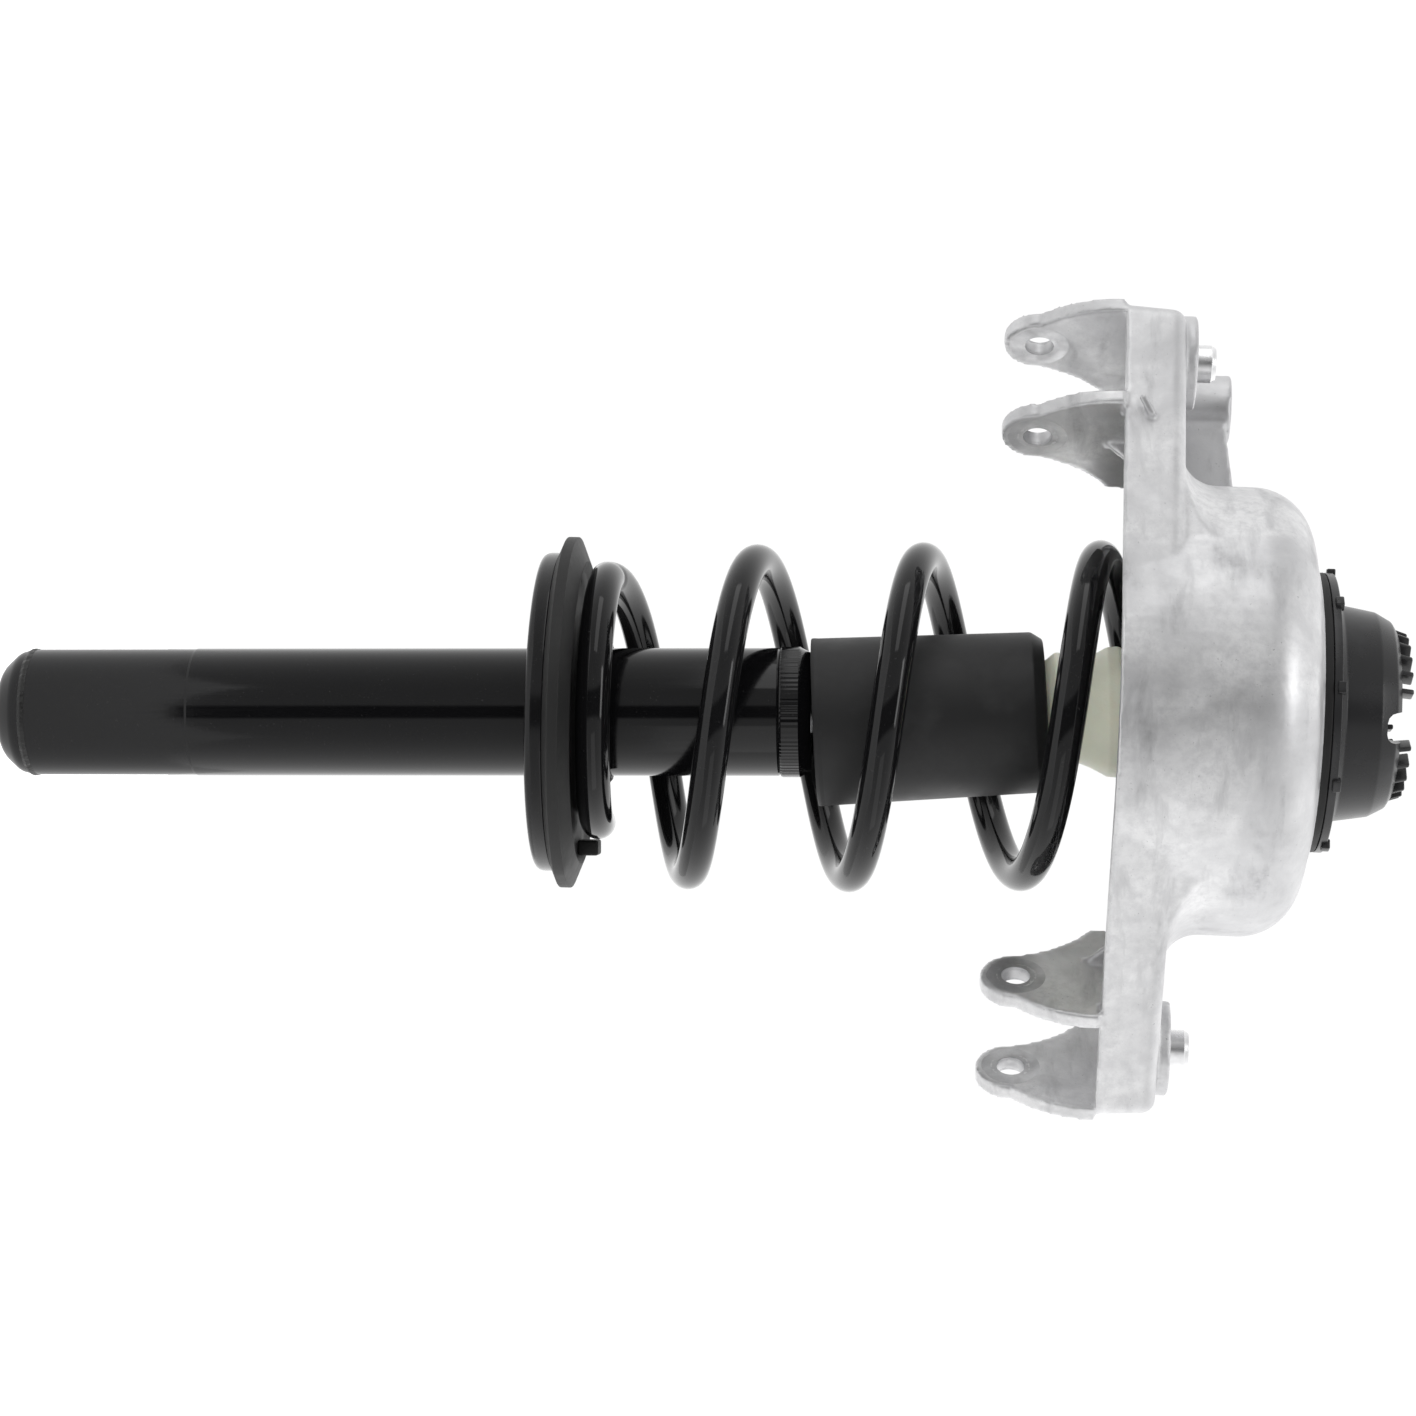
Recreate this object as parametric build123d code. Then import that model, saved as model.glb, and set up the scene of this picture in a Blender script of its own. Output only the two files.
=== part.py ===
"""Front suspension strut: damper, coil spring, top mount and cast upper bracket.

Millimetres. +Z runs up the strut axis. The origin is on that axis, in the plane
of the two body-mounting pads of the cast bracket. The damper is fully extended.
The bracket, the top mount and the cap lean by bracket_lean to the strut axis.
"""
from build123d import *
import math
import os

os.makedirs("parts", exist_ok=True)

# ---- Driving dimensions: damper ------------------------------------------------
tube_radius = 27.5
tube_wall = 2.2
clamp_radius = 27.3
clamp_top_z = -424.0
tube_bottom_z = -494.0
tube_tip_z = -511.0
closure_bottom_z = -170.5
closure_rim_z = -161.0
closure_top_z = -157.0
closure_radius = 28.0
closure_crimp = 3.0
closure_sheet = 2.5
closure_lip_radius = 19.0
guide_top_z = -166.0
guide_bottom_z = -184.0
guide_spigot = 6.0
valve_foot_radius = 21.8
valve_foot_z = -496.5
valve_floor_z = -490.0
valve_plug_z = -482.0
valve_passage_radius = 6.0
valve_bore_radius = 3.0
inner_tube_radius = 17.5
inner_tube_wall = 1.5
rod_radius = 10.0
rod_thread_radius = 7.0
rod_shoulder_z = 6.0
rod_end_z = 62.0
piston_z = -236.0
piston_height = 16.0
band_height = 8.0
band_thick = 1.5
piston_nut_height = 9.0
rebound_collar_z = -213.0
rebound_collar_radius = 13.0
rebound_stop_z = -208.0
rebound_stop_top_z = -191.0
rebound_stop_radius = 14.5
slide_gap = 0.05

# ---- Driving dimensions: lower spring seat -------------------------------------
pan_radius = 68.5
pan_bottom_z = -274.0
pan_top_z = -266.0
pan_sheet = 3.0
pan_edge_round = 8.0
pan_dish_radius = 46.0
pan_neck_radius = 38.0
perch_hub_radius = 31.0
perch_hub_top_z = -246.5
perch_lean = 1.4
isolator_radius = 75.5
isolator_inner_radius = 34.0
isolator_floor_z = -257.0
isolator_groove_outer = 60.0
isolator_groove_inner = 43.0
isolator_upstand_radius = 40.0
coil_stop_x = 58.5
isolator_gap = 0.4

# ---- Driving dimensions: coil spring -------------------------------------------
wire_radius = 7.3
coil_radius = 67.5
tail_radius = 47.5
tail_z = -249.2
tail_rise = 4.5
first_turn_z = -212.5
coil_pitch = 67.0
pitch_growth = 2.0
coil_sway = 1.55
coil_nod = 1.3
coil_drift = 2.8
top_drift = 1.0
active_turns = 3.165
closing_turns = 0.3
top_turns = 0.85
points_per_turn = 12
seat_gap = 0.4

# ---- Driving dimensions: cast bracket (in its own leaning frame) ----------------
bracket_lean = 2.3
cast_wall = 6.0
rim_z = -31.0
wing_top_z = -5.5
wing_edge_round = 6.0
far_rim_z = -17.0
dome_radius = 95.5
dome_centre_x = -1.1
dome_shoulder_z = 26.0
dome_top_z = 53.5
dome_ring_radius = 66.0
dome_room_z = 30.0
isolator_pad = 6.0
isolator_pad_radius = 78.0
flare_radius = 16.0
hub_radius = 46.0
hub_wall = 5.0
hub_floor_z = 12.0
mount_floor_z = 49.5
pad_radius = 20.0
front_pad_x = -148.5
rear_pad_x = 143.5
side_pad_x = -134.0
side_pad_y = 54.0
side_pad_z = 19.5
side_pad_radius = 15.0
side_arm_bottom_z = -10.0
side_arm_root_x = -66.0
side_arm_root_y = 50.0
side_arm_root_z = 26.0
side_arm_width = 26.0
side_arm_wall = 5.0
web_x = 98.0
web_y = 34.0
web_length = 44.0
web_thick = 4.5
web_height = 22.0
stud_radius = 12.5
thread_hole_radius = 4.25
thread_depth = 22.0
sleeve_radius = 8.0
sleeve_height = 8.6
sleeve_seat = 6.0
sleeve_foot_radius = 7.6
sleeve_relief = 0.5

# ---- Driving dimensions: link ears ----------------------------------------------
ear_angle = 31.0
ear_thickness = 6.5
ear_spacing = 47.5
ear_tip_radius = 15.0
ear_near_half = 27.0
ear_far_half = 36.0
ear_hole_radius = 6.0
ear_hole_z = -66.2
front_ears_x = -136.5
rear_ears_x = 136.8
ears_y = -8.0

# ---- Driving dimensions: top mount, bump stop, cover and cap ---------------------
mount_ring_wall = 3.0
mount_flange_radius = 60.0
sleeve_bottom_z = 12.0
sleeve_top_z = 44.0
core_radius = 19.0
mount_flange_thick = 2.5
stop_plate_radius = 31.0
stop_plate_z = 8.5
rebound_washer_radius = 30.0
rebound_washer_thick = 3.0
rod_nut_flats = 22.0
rod_nut_height = 11.0
bump_cup_radius = 30.0
bump_cup_wall = 1.7
bump_cup_z = -4.0
bump_bore_radius = 11.5
bump_top_z = 5.6
bump_bottom_z = -74.0
cover_lean = -2.6
cover_bottom_z = -156.0
cover_top_z = -57.5
cover_bottom_radius = 36.0
cover_top_radius = 34.4
cover_wall = 2.0
cover_lip_radius = 23.4
cap_radius = 59.5
cap_centre_x = -2.1
cap_seal_bore = 49.0
cap_flange_z = 57.8
cap_flange_thick = 3.7
cap_dome_radius = 46.2
cap_shoulder_radius = 43.2
cap_shoulder_z = 81.0
cap_crown_radius = 36.5
cap_crown_z = 88.0
cap_top_z = 93.3
cap_floor_z = 76.0
cap_wall = 2.5
cap_notch_width = 12.8
cap_notch_reach = 26.0
fin_reach = 7.5
cap_notch_z = 82.0
cap_notch_angle = -82.0
cap_notches = 3
crown_fins = 27
fin_thickness = 2.2


def in_bracket_frame(shape):
    """Lean a shape from the bracket's own frame to the strut frame."""
    return Rot(0, bracket_lean, 0) * shape


def in_perch_frame(shape):
    """Lean a shape with the spring perch, about the middle of the pan."""
    pivot = Pos(0, 0, pan_top_z)
    return pivot * Rot(0, perch_lean, 0) * pivot.inverse() * shape


def ring(outer, inner, bottom, top):
    """A plain annular cylinder on the Z axis."""
    height = top - bottom
    solid = Cylinder(outer, height) - Cylinder(inner, height)
    return Pos(0, 0, (bottom + top) / 2) * solid


def turned(points):
    """A body turned from a closed outline of (radius, height) points."""
    outline = Polyline(*[(r, 0, z) for r, z in points], close=True)
    return revolve(make_face(outline), Axis.Z)


def smoothstep(value):
    """A 0 to 1 ramp with flat ends."""
    held = max(0.0, min(1.0, value))
    return held * held * (3 - 2 * held)


# ---- Damper ---------------------------------------------------------------------
def damper_tube():
    bore = tube_radius - tube_wall
    points = [
        (bore, tube_bottom_z),
        (clamp_radius, tube_bottom_z),
        (clamp_radius, clamp_top_z),
        (tube_radius, clamp_top_z + 1.0),
        (tube_radius, closure_bottom_z),
        (bore, closure_bottom_z),
    ]
    return turned(points)


def bottom_cap():
    """Bowl-shaped end: its knuckle and its bowl are given as (radius, height) points."""
    edge = clamp_radius - 0.4
    inner = edge - 3.0
    rim = tube_bottom_z - 2
    knuckle = (22.6, 0, tube_bottom_z - 9.6)
    flat = (10.0, 0, tube_tip_z + 0.9)
    bowl = (16.0, 0, tube_tip_z + 6.0)
    outside = ThreePointArc((edge, 0, rim), knuckle, flat)
    nose = Line(outside @ 1, (0, 0, tube_tip_z))
    centre = Line(nose @ 1, (0, 0, tube_tip_z + 3.5))
    inside = ThreePointArc(centre @ 1, bowl, (inner, 0, rim))
    lip = Line(inside @ 1, outside @ 0)
    return revolve(make_face(outside + nose + centre + inside + lip), Axis.Z)


def bottom_weld():
    return ring(clamp_radius - 0.05, clamp_radius - 3.2, tube_bottom_z - 2, tube_bottom_z)


def closure_cap():
    rim = closure_radius - closure_crimp
    seal_floor = closure_top_z - closure_sheet
    points = [
        (tube_radius - tube_wall, closure_bottom_z),
        (closure_radius, closure_bottom_z),
        (closure_radius, closure_rim_z),
        (rim, closure_top_z),
        (closure_lip_radius, closure_top_z),
        (closure_lip_radius, seal_floor),
        (tube_radius - tube_wall, seal_floor),
    ]
    return turned(points)


def rod_guide():
    bore = rod_radius + slide_gap
    body = ring(tube_radius - tube_wall, bore, guide_bottom_z, guide_top_z)
    spigot = ring(inner_tube_radius - inner_tube_wall, bore, guide_bottom_z - guide_spigot, guide_bottom_z)
    return body + spigot


def rod_seal():
    return ring(tube_radius - tube_wall, rod_radius + slide_gap, guide_top_z, closure_top_z - closure_sheet)


def pressure_tube():
    return ring(inner_tube_radius, inner_tube_radius - inner_tube_wall, valve_floor_z, guide_bottom_z)


def base_valve():
    foot = ring(valve_foot_radius, valve_passage_radius, valve_foot_z, valve_floor_z)
    plug = ring(inner_tube_radius - inner_tube_wall, valve_bore_radius, valve_floor_z, valve_plug_z)
    return foot + plug


def piston_rod():
    core = Pos(0, 0, (piston_z + rod_shoulder_z) / 2) * Cylinder(rod_radius, rod_shoulder_z - piston_z)
    stem_bottom = piston_z - piston_height - 10.0
    stem = Pos(0, 0, (stem_bottom + rod_end_z) / 2) * Cylinder(rod_thread_radius, rod_end_z - stem_bottom)
    return core + stem


def piston():
    groove_radius = inner_tube_radius - inner_tube_wall - band_thick
    groove_bottom = piston_z - (piston_height + band_height) / 2
    outer = inner_tube_radius - inner_tube_wall - 0.3
    body = ring(outer, rod_thread_radius, piston_z - piston_height, piston_z)
    groove = ring(outer + 1.0, groove_radius, groove_bottom, groove_bottom + band_height)
    return body - groove


def piston_band():
    bore = inner_tube_radius - inner_tube_wall
    groove_bottom = piston_z - (piston_height + band_height) / 2
    return ring(bore - slide_gap, bore - band_thick, groove_bottom, groove_bottom + band_height)


def hexagon_nut(flats, bore, bottom, top):
    """A nut whose upper corners are cut back by a shallow cone."""
    outline = RegularPolygon(flats / 2, 6, major_radius=False)
    blank = extrude(outline, top - bottom)
    dome = Pos(0, 0, (top - bottom) / 2) * Cone(flats * 0.62, flats * 0.56, top - bottom)
    hole = Pos(0, 0, (top - bottom) / 2) * Cylinder(bore, top - bottom)
    return Pos(0, 0, bottom) * ((blank & dome) - hole)


def piston_nut():
    bottom = piston_z - piston_height - piston_nut_height
    return hexagon_nut(19.0, rod_thread_radius, bottom, piston_z - piston_height)


def rebound_collar():
    return ring(rebound_collar_radius, rod_radius, rebound_collar_z, rebound_stop_z)


def rebound_stop():
    return ring(rebound_stop_radius, rod_radius, rebound_stop_z, rebound_stop_top_z)


# ---- Lower spring seat -------------------------------------------------------------
def spring_perch():
    """Pressed pan with a rolled rim, and the collar that carries it on the tube."""
    edge = pan_edge_round
    bend = edge * (1 - math.sqrt(0.5))
    inner_edge = pan_radius - pan_sheet
    core = tube_radius - 4
    floor = Polyline(
        (core, 0, pan_bottom_z + 7),
        (pan_neck_radius, 0, pan_bottom_z + 1),
        (pan_dish_radius, 0, pan_bottom_z),
    )
    base = Line(floor @ 1, (pan_radius - edge, 0, pan_bottom_z))
    rim = ThreePointArc(
        base @ 1,
        (pan_radius - bend, 0, pan_bottom_z + bend),
        (pan_radius, 0, pan_bottom_z + edge),
    )
    inside = Polyline(
        rim @ 1,
        (inner_edge, 0, pan_top_z),
        (inner_edge - 2, 0, pan_bottom_z + pan_sheet + 1),
        (pan_dish_radius, 0, pan_bottom_z + pan_sheet),
        (pan_neck_radius + 1, 0, pan_bottom_z + pan_sheet + 1),
        (perch_hub_radius - 1, 0, pan_bottom_z + 10),
        (core, 0, pan_bottom_z + 10),
        floor @ 0,
    )
    pan = in_perch_frame(revolve(make_face(floor + base + rim + inside), Axis.Z))
    collar = ring(perch_hub_radius, tube_radius - 1, pan_bottom_z + 7, perch_hub_top_z)
    tube = Pos(0, 0, pan_top_z) * Cylinder(tube_radius, 80)
    return (pan + collar) - tube


def perch_weld():
    points = [
        (tube_radius, perch_hub_top_z),
        (perch_hub_radius - 0.4, perch_hub_top_z),
        (perch_hub_radius - 1.4, perch_hub_top_z + 2.4),
        (tube_radius, perch_hub_top_z + 3.6),
    ]
    return turned(points)


def lower_isolator():
    """Rubber seat: wedge-edged ring, groove for the wire, inner upstand and coil-end stop."""
    seat = pan_bottom_z + pan_sheet
    wall = pan_radius - pan_sheet
    points = [
        (isolator_inner_radius + 6, seat + 1.2),
        (wall - 2, seat + 1.2),
        (wall, pan_top_z),
        (pan_radius + 0.5, pan_top_z),
        (isolator_radius, pan_top_z + 2.5),
        (isolator_radius, pan_top_z + 7.0),
        (isolator_groove_outer + 5.0, pan_top_z + 11.0),
        (isolator_groove_outer, isolator_floor_z),
        (isolator_groove_inner, isolator_floor_z),
        (isolator_upstand_radius, perch_hub_top_z),
        (isolator_inner_radius, perch_hub_top_z),
        (isolator_inner_radius, isolator_floor_z - 5.0),
    ]
    stop = Pos(coil_stop_x, 8.0, isolator_floor_z + 2.5) * Box(7.0, 16.0, 10.0)
    return in_perch_frame(turned(points)) + stop - spring_groove()


# ---- Coil spring --------------------------------------------------------------------
def closing_slope():
    """Rise per turn where the top coil starts to close."""
    return coil_pitch + 2 * pitch_growth * active_turns


def top_seat_z():
    """Height on the axis of the closed top coil's centre line."""
    climb = coil_pitch * active_turns + pitch_growth * active_turns**2
    return first_turn_z + climb + closing_slope() * closing_turns / 2


def coil_centre(turn):
    """Centre of the wire after so many turns from the lower tip."""
    seat_turn = 1.0 + active_turns
    angle = 2 * math.pi * turn
    radius = tail_radius + (coil_radius - tail_radius) * smoothstep(turn)
    if turn < 0.5:
        height = tail_z + tail_rise * turn / 0.5
    else:
        rise = min(turn - 1.0, active_turns)
        height = first_turn_z + coil_pitch * rise + pitch_growth * rise * rise
        sway = smoothstep((turn - 0.5) / 0.5) * smoothstep(seat_turn - turn)
        height += (coil_sway * math.cos(angle) + coil_nod * math.sin(angle)) * sway
    if turn > seat_turn:
        run = min(turn - seat_turn, closing_turns)
        height += closing_slope() * (run - run * run / (2 * closing_turns))
    lean = math.tan(math.radians(bracket_lean)) * smoothstep((turn - seat_turn + 0.5) / 0.5)
    share = max(0.0, min(1.0, (turn - 1.5) / (seat_turn - 1.5)))
    drift = (coil_drift + (top_drift - coil_drift) * share) * smoothstep(turn - 0.5)
    x = radius * math.cos(angle) + drift
    y = -radius * math.sin(angle)
    return (x, y, height - lean * x)


def swept_wire(first_turn, last_turn, radius):
    steps = round((last_turn - first_turn) * points_per_turn)
    count = steps + 1
    points = [coil_centre(first_turn + (last_turn - first_turn) * k / steps) for k in range(count)]
    path = Spline(*points)
    section = Plane(origin=path @ 0, z_dir=path % 0) * Circle(radius)
    return sweep(section, path=path)


def coil_spring():
    return swept_wire(0.0, 1.0 + active_turns + top_turns, wire_radius)


def spring_groove():
    """The room that the lowest half turn of wire takes in the rubber seat."""
    return swept_wire(-0.08, 0.75, wire_radius + isolator_gap)


# ---- Cast bracket ----------------------------------------------------------------------
def wing_end(pair_x, outward):
    """Near and far end corners of a wing, on the outer face of its outer ear."""
    lean = math.radians(ear_angle)
    reach = (ear_spacing + ear_thickness) / 2
    middle_x = pair_x + outward * reach * math.cos(lean)
    middle_y = ears_y + reach * math.sin(lean)
    corners = []
    for half in (-ear_near_half - 2.0, ear_far_half):
        corners.append((middle_x - outward * half * math.sin(lean), middle_y + half * math.cos(lean)))
    return corners


def wing_outline(inset):
    """Plan outline of the tray: two wings that run into the dome."""
    flank_x = 36.0
    flank_y = 88.0
    front_near, front_far = wing_end(front_ears_x, -1)
    rear_near, rear_far = wing_end(rear_ears_x, 1)
    points = [
        front_near,
        (-flank_x, -flank_y),
        (flank_x, -flank_y),
        rear_near,
        rear_far,
        (flank_x, flank_y),
        (-flank_x, flank_y),
        front_far,
    ]
    outline = make_face(Polyline(*points, close=True))
    outline = fillet(outline.vertices(), 9.0)
    if inset:
        outline = offset(outline, -inset)
    return outline


def dome_outside():
    base = Line((0, 0, rim_z), (dome_radius, 0, rim_z))
    wall = Line(base @ 1, (dome_radius, 0, dome_shoulder_z))
    shoulder = ThreePointArc(wall @ 1, (89.2, 0, 43.0), (76.0, 0, dome_top_z - 2.8))
    top = Line(shoulder @ 1, (dome_ring_radius, 0, dome_top_z - 0.8))
    lip = Line(top @ 1, (dome_ring_radius - 1, 0, dome_top_z))
    roof = Line(lip @ 1, (0, 0, dome_top_z))
    axis_line = Line(roof @ 1, base @ 0)
    return revolve(make_face(base + wall + shoulder + top + lip + roof + axis_line), Axis.Z)


def dome_flare():
    """The round-bottomed run from the wing tops up the dome, trimmed to the wings."""
    foot = dome_radius + flare_radius
    top = wing_top_z + flare_radius
    bend = flare_radius * (1 - math.sqrt(0.5))
    start = Line((dome_radius - 4, 0, wing_top_z - 2), (foot, 0, wing_top_z - 2))
    toe = Line(start @ 1, (foot, 0, wing_top_z))
    sweep_up = ThreePointArc(toe @ 1, (dome_radius + bend, 0, wing_top_z + bend), (dome_radius, 0, top))
    back = Polyline(sweep_up @ 1, (dome_radius - 4, 0, top), start @ 0)
    flare = Pos(dome_centre_x, 0, 0) * revolve(make_face(start + toe + sweep_up + back), Axis.Z)
    return flare & extrude(Pos(0, 0, wing_top_z - 2) * wing_outline(5.0), flare_radius + 2)


def pad_seat_z():
    return top_seat_z() + wire_radius + seat_gap


def dome_inside():
    """Every turned hollow of the dome: spring room, hub throat, bush socket and top recess."""
    hub = hub_radius + hub_wall
    roof = pad_seat_z() + isolator_pad
    spring_room = turned([
        (hub, rim_z - 1),
        (dome_radius - cast_wall, rim_z - 1),
        (dome_radius - cast_wall, dome_room_z),
        (isolator_pad_radius + 1, roof),
        (hub, roof),
    ])
    throat = turned([
        (0, rim_z - 1),
        (hub + 1, rim_z - 1),
        (hub + 1, hub_floor_z),
        (hub_radius - 8, hub_floor_z),
        (hub_radius - 8, hub_floor_z + 4),
        (hub_radius, hub_floor_z + 4),
        (hub_radius, mount_floor_z),
        (mount_flange_radius + 1.5, mount_floor_z),
        (mount_flange_radius + 1.5, dome_top_z + 5),
        (0, dome_top_z + 5),
    ])
    return spring_room + throat


def ear_profile():
    """An ear seen square on: x runs from its near edge to its far edge, y is height."""
    drop = ear_hole_z
    root = rim_z - 4
    top = wing_top_z - 2
    tip = ThreePointArc((ear_tip_radius, drop), (0, drop - ear_tip_radius), (-ear_tip_radius, drop))
    near = ThreePointArc(tip @ 1, (-ear_near_half + 3.5, drop + 15), (-ear_near_half, root))
    wall = Polyline(near @ 1, (-ear_near_half, top), (ear_far_half, top), (ear_far_half, root))
    far = ThreePointArc(wall @ 1, (ear_tip_radius + 5.5, drop + 14), tip @ 0)
    return make_face(tip + near + wall + far)


def ear(pair_x, side, turn_sign):
    """One ear plate; side picks which plate of the pair, turn_sign the way it is turned."""
    plate = extrude(Plane.XZ * ear_profile(), ear_thickness / 2, both=True)
    hole = Rot(90, 0, 0) * Cylinder(ear_hole_radius, ear_thickness * 2)
    plate -= Pos(0, 0, ear_hole_z) * hole
    plate = Pos(0, side * ear_spacing / 2, 0) * plate
    return Pos(pair_x, ears_y, 0) * Rot(0, 0, 90 + turn_sign * ear_angle) * plate


def pad_column(x, y, top, bottom, radius):
    return Pos(x, y, (top + bottom) / 2) * Cylinder(radius, top - bottom)


def arm_body(inset, bottom):
    """A wall from the dome to the side pad; inset thins it and shortens it at the pad."""
    run = math.hypot(side_pad_x - side_arm_root_x, side_pad_y - side_arm_root_y)
    along = ((side_pad_x - side_arm_root_x) / run, (side_pad_y - side_arm_root_y) / run)
    reach = run - 4 * inset
    sections = []
    for distance, top, width in (
        (0.0, side_arm_root_z - inset, side_arm_width + 16 - 2 * inset),
        (reach, side_pad_z - 4.0 - inset, side_arm_width - 2 * inset),
    ):
        spot = (side_arm_root_x + along[0] * distance, side_arm_root_y + along[1] * distance, (top + bottom) / 2)
        plane = Plane(origin=spot, x_dir=(-along[1], along[0], 0), z_dir=(along[0], along[1], 0))
        sections.append(plane * Rectangle(width, top - bottom))
    return loft(sections)


def side_arm():
    """The raised third arm and its pad."""
    return arm_body(0.0, side_arm_bottom_z) + pad_column(
        side_pad_x, side_pad_y, side_pad_z, side_arm_bottom_z, side_pad_radius
    )


def far_relief():
    """Lifts the rim on the far side, with a ramp down to the near side."""
    ramp = Polyline(
        (0, -24.0, rim_z - 1),
        (0, 6.0, far_rim_z),
        (0, 150.0, far_rim_z),
        (0, 150.0, rim_z - 1),
        close=True,
    )
    return extrude(make_face(ramp), 250, both=True)


def bracket():
    tray = extrude(Pos(0, 0, rim_z) * wing_outline(0), wing_top_z - rim_z, taper=4)
    tray = fillet(tray.faces().sort_by(Axis.Z)[-1].edges(), wing_edge_round)
    below = Pos(0, 0, rim_z - 50) * Box(400, 300, 100)
    centre = Pos(dome_centre_x, 0, 0)
    body = tray + centre * dome_outside() + dome_flare() + side_arm()
    hollow_height = wing_top_z - cast_wall - rim_z + 1
    body -= extrude(Pos(0, 0, rim_z - 1) * wing_outline(cast_wall), hollow_height, taper=4)
    for sign in (-1, 1):
        for side_y in (-web_y, web_y):
            web_z = wing_top_z - 1.5 - web_height / 2
            body += Pos(sign * web_x, side_y, web_z) * Box(web_length, web_thick, web_height)
    body -= arm_body(side_arm_wall, side_arm_bottom_z - 3)
    body -= far_relief()
    for pair_x, turn_sign in ((front_ears_x, -1), (rear_ears_x, 1)):
        for side in (-1, 1):
            plate = ear(pair_x, side, turn_sign)
            body += plate & (tray + below)
    for pad_x in (front_pad_x, rear_pad_x):
        body += pad_column(pad_x, 0, 0.0, -thread_depth - 3, stud_radius)
        body += pad_column(pad_x, 0, 0.0, wing_top_z - 1, pad_radius)
    body -= centre * dome_inside()
    for pad_x in (front_pad_x, rear_pad_x):
        body -= pad_column(pad_x, 0, 1.0, -thread_depth, thread_hole_radius)
        body -= pad_column(pad_x, 0, 1.0, -sleeve_seat, sleeve_foot_radius)
        body -= pad_column(pad_x, 0, 1.0, -sleeve_relief, sleeve_radius + 0.3)
    body -= pad_column(side_pad_x, side_pad_y, side_pad_z + 1, side_pad_z - thread_depth, thread_hole_radius)
    return in_bracket_frame(body)


def locating_sleeves():
    sleeves = []
    for pad_x in (front_pad_x, rear_pad_x):
        tube = pad_column(pad_x, 0, sleeve_height, sleeve_relief, sleeve_radius)
        tube = chamfer(tube.edges().sort_by(Axis.Z)[-1], 1.2)
        tube += pad_column(pad_x, 0, sleeve_height - 2, -sleeve_seat, sleeve_foot_radius)
        tube -= pad_column(pad_x, 0, sleeve_height + 1, -sleeve_seat - 1, thread_hole_radius)
        sleeves.append(in_bracket_frame(tube))
    return Compound(children=sleeves)


# ---- Top mount ----------------------------------------------------------------------------
def mount_ring():
    bore = hub_radius - mount_ring_wall
    sleeve = ring(hub_radius, bore, hub_floor_z + 4, mount_floor_z)
    flange = ring(mount_flange_radius, bore, mount_floor_z, mount_floor_z + mount_flange_thick)
    return in_bracket_frame(Pos(dome_centre_x, 0, 0) * (sleeve + flange))


def mount_rubber():
    bore = hub_radius - mount_ring_wall
    block = ring(bore, 14.0, hub_floor_z + 7, mount_floor_z - 9)
    core = Pos(0, 0, (sleeve_bottom_z + sleeve_top_z) / 2) * Cylinder(core_radius, 80)
    return in_bracket_frame(Pos(dome_centre_x, 0, 0) * block) - core


def mount_core():
    return ring(core_radius, rod_thread_radius, sleeve_bottom_z, sleeve_top_z)


def stop_plate():
    return ring(stop_plate_radius, rod_thread_radius, stop_plate_z, sleeve_bottom_z)


def rebound_washer():
    top = sleeve_top_z + rebound_washer_thick
    return ring(rebound_washer_radius, rod_thread_radius, sleeve_top_z, top)


def rod_nut():
    bottom = sleeve_top_z + rebound_washer_thick
    return hexagon_nut(rod_nut_flats, rod_thread_radius, bottom, bottom + rod_nut_height)


def upper_isolator():
    seat = pad_seat_z()
    lip_radius = coil_radius - wire_radius - 3.0
    pad = ring(isolator_pad_radius, lip_radius - 5, seat, seat + isolator_pad)
    lip = ring(lip_radius, lip_radius - 5, seat - 8, seat)
    return in_bracket_frame(Pos(dome_centre_x, 0, 0) * (pad + lip))


def bump_cup():
    disc = ring(bump_cup_radius, rod_thread_radius, rod_shoulder_z, stop_plate_z)
    skirt = ring(bump_cup_radius, bump_cup_radius - bump_cup_wall, bump_cup_z, rod_shoulder_z)
    return disc + skirt


def bump_stop():
    """Cellular buffer: three lobes with a groove that holds the cover, as (radius, height) points."""
    outside = Spline(
        (18.0, 0, bump_bottom_z),
        (22.5, 0, -69.0),
        (23.6, 0, -65.5),
        (21.4, 0, -61.5),
        (21.4, 0, -58.5),
        (25.2, 0, -53.0),
        (23.4, 0, -47.5),
        (21.5, 0, -42.0),
        (28.0, 0, -28.0),
        (23.0, 0, -15.0),
        (25.5, 0, -6.0),
        (26.5, 0, bump_top_z),
    )
    top = Line(outside @ 1, (bump_bore_radius, 0, bump_top_z))
    bore = Line(top @ 1, (bump_bore_radius, 0, bump_bottom_z))
    foot = Line(bore @ 1, outside @ 0)
    return revolve(make_face(outside + top + bore + foot), Axis.Z)


def dust_cover():
    points = [
        (cover_bottom_radius - cover_wall, cover_bottom_z),
        (cover_bottom_radius, cover_bottom_z),
        (cover_top_radius, cover_top_z - 4.0),
        (cover_top_radius - 1.2, cover_top_z - 1.2),
        (cover_top_radius - 4.0, cover_top_z),
        (cover_lip_radius, cover_top_z),
        (cover_lip_radius, cover_top_z - cover_wall),
        (cover_top_radius - 5.0, cover_top_z - cover_wall),
        (cover_top_radius - cover_wall, cover_top_z - 5.0),
    ]
    pivot = Pos(0, 0, cover_top_z)
    return pivot * Rot(0, cover_lean, 0) * pivot.inverse() * turned(points)


# ---- Top cap ----------------------------------------------------------------------------------
def cap_seal():
    bottom = mount_floor_z + mount_flange_thick
    seal = ring(cap_radius, cap_seal_bore, bottom, cap_flange_z - 0.1)
    return in_bracket_frame(Pos(cap_centre_x, 0, 0) * seal)


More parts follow.
